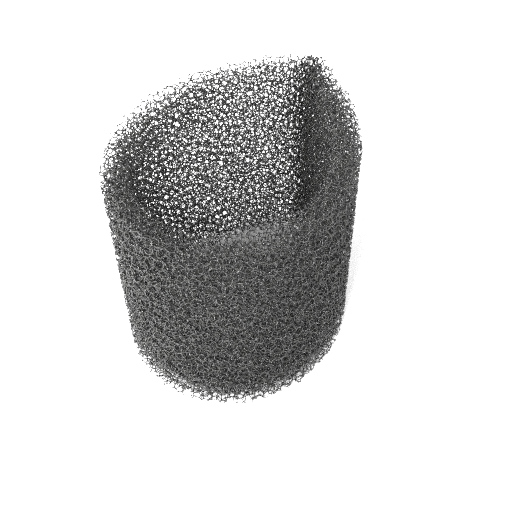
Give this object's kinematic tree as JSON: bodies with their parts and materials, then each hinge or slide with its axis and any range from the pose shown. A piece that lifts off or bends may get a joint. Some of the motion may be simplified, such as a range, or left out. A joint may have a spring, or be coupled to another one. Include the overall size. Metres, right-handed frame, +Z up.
{
  "type": "sponge filter sleeve",
  "caption": "Open sleeve of coarse reticulated foam, teardrop in plan with one bonded upright seam, that slips over a pump's intake cage as a pre-filter.",
  "frame": {"origin": "centre of the bottom rim's bounding box, on the surface the sleeve stands on", "axes": "+Z up the sleeve, +Y towards the bonded seam corner, +X to the right of the seam seen from the far side"},
  "size_m": [0.0904, 0.1136, 0.094],
  "materials": {
    "foam": "matte with soft glints on the struts",
    "adhesive": "satin"
  },
  "bodies": {
    "root": {"foam_sleeve": "foam", "seam_bond": "adhesive"}
  },
  "joints": []
}
